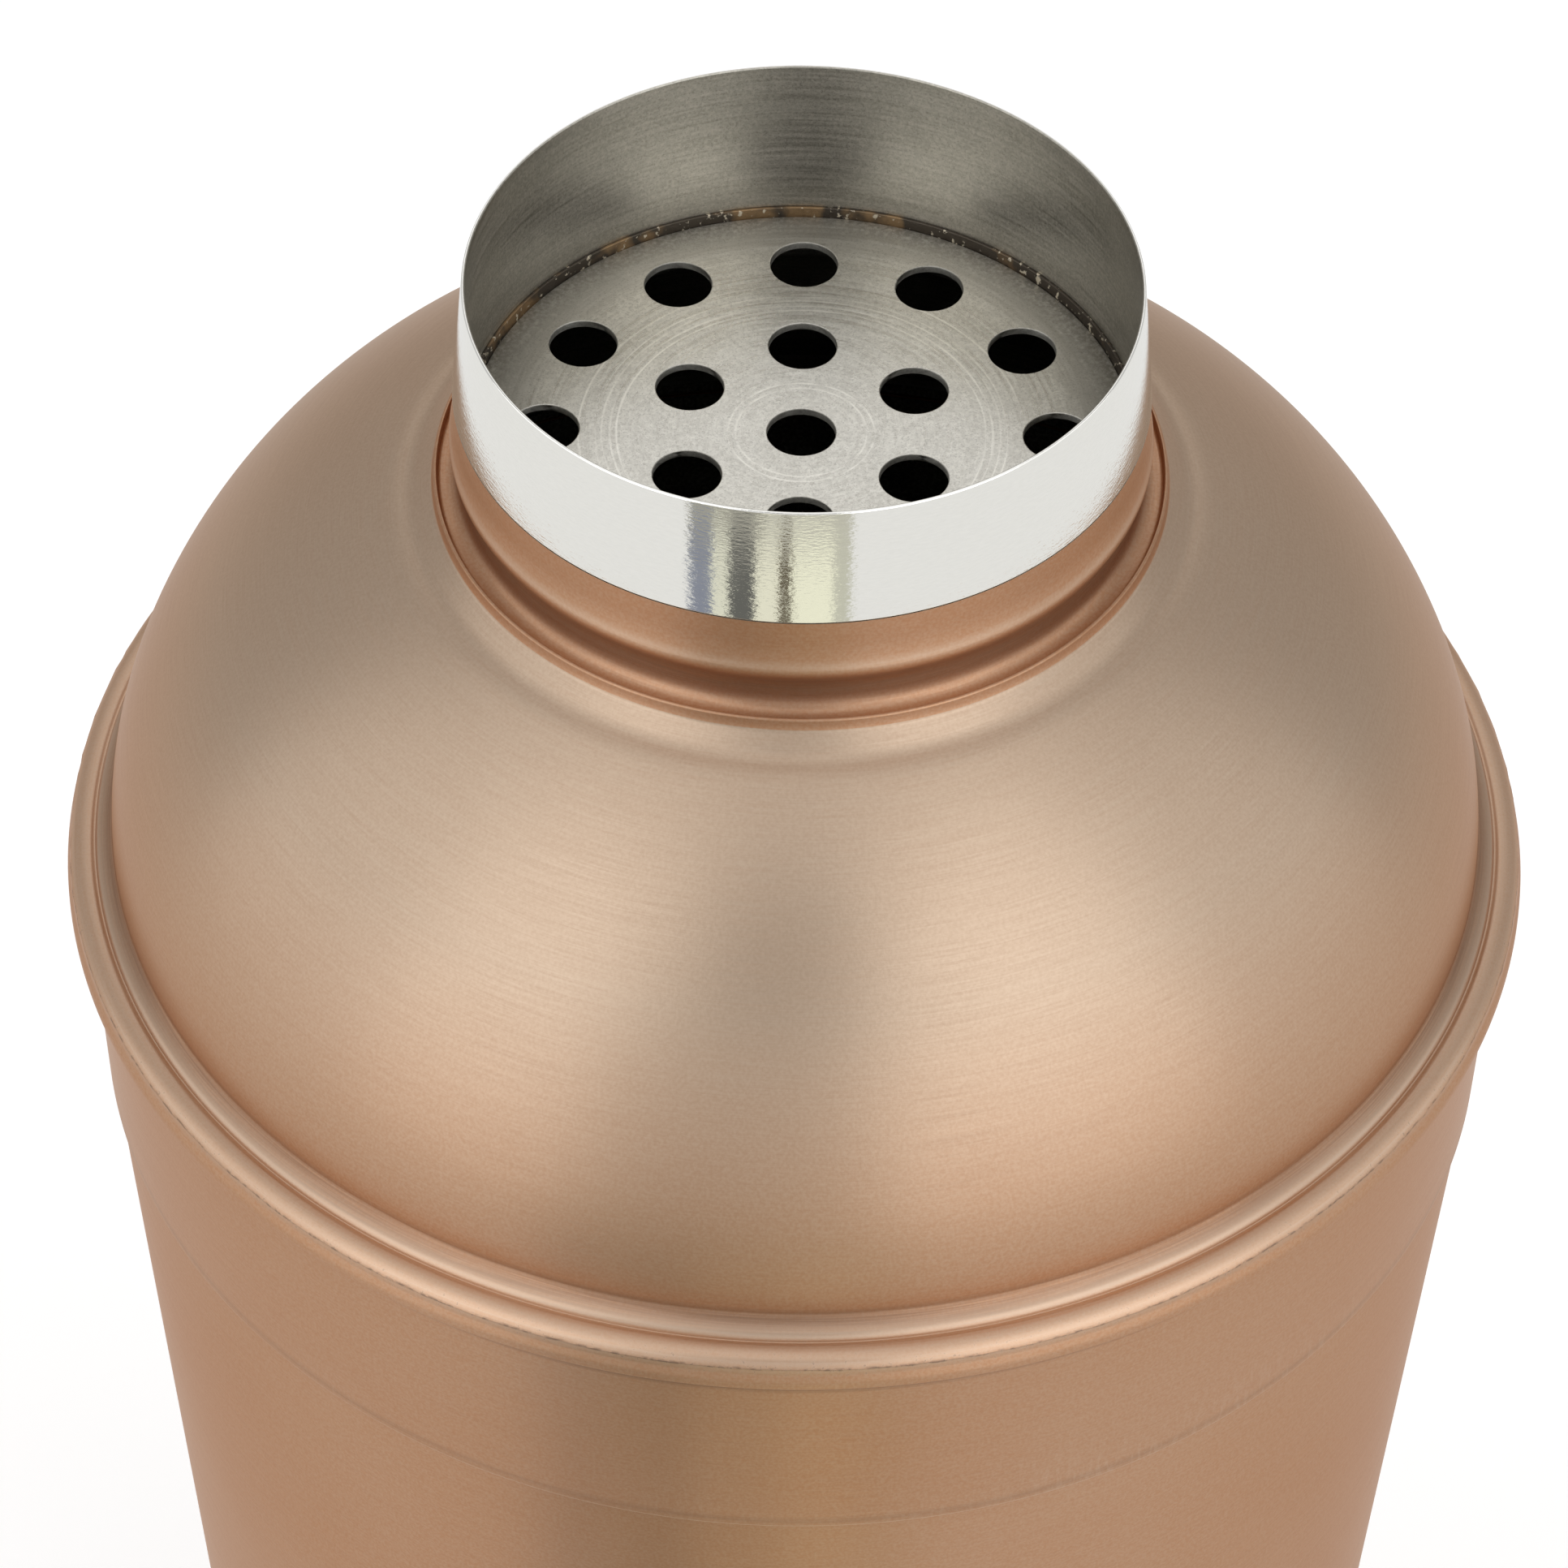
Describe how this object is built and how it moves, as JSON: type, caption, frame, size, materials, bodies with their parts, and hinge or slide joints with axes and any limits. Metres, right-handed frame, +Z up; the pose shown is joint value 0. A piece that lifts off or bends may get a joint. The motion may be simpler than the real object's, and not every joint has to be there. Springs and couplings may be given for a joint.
{
  "type": "cocktail shaker",
  "caption": "Tapered copper-finished cocktail shaker with a lift-off domed lid, perforated strainer plate and bright steel neck ring; cap removed.",
  "frame": {"origin": "centre of the base, on the surface that the shaker stands on", "axes": "+Z up along the shaker's axis of revolution; +X and +Y square to it, with one hole of the outer strainer ring on +X"},
  "size_m": [0.092, 0.092, 0.1982],
  "materials": {
    "tumbler_copper": "satin copper-coloured coating over stainless steel",
    "skirt_copper": "satin copper-coloured coating over stainless steel",
    "dome_copper": "satin copper-coloured coating over stainless steel",
    "neck_steel": "bright polished stainless steel",
    "plate_steel": "turned and brushed stainless steel"
  },
  "bodies": {
    "tumbler": {"tumbler": "tumbler_copper"},
    "lid": {"skirt_ring": "skirt_copper", "strainer_dome": "dome_copper", "neck_ring": "neck_steel", "strainer_plate": "plate_steel"}
  },
  "joints": [
    {"name": "lid_lift", "type": "slide", "parent": "tumbler", "child": "lid", "axis": [0, 0, 1], "range_m": [0, 0.06]}
  ]
}
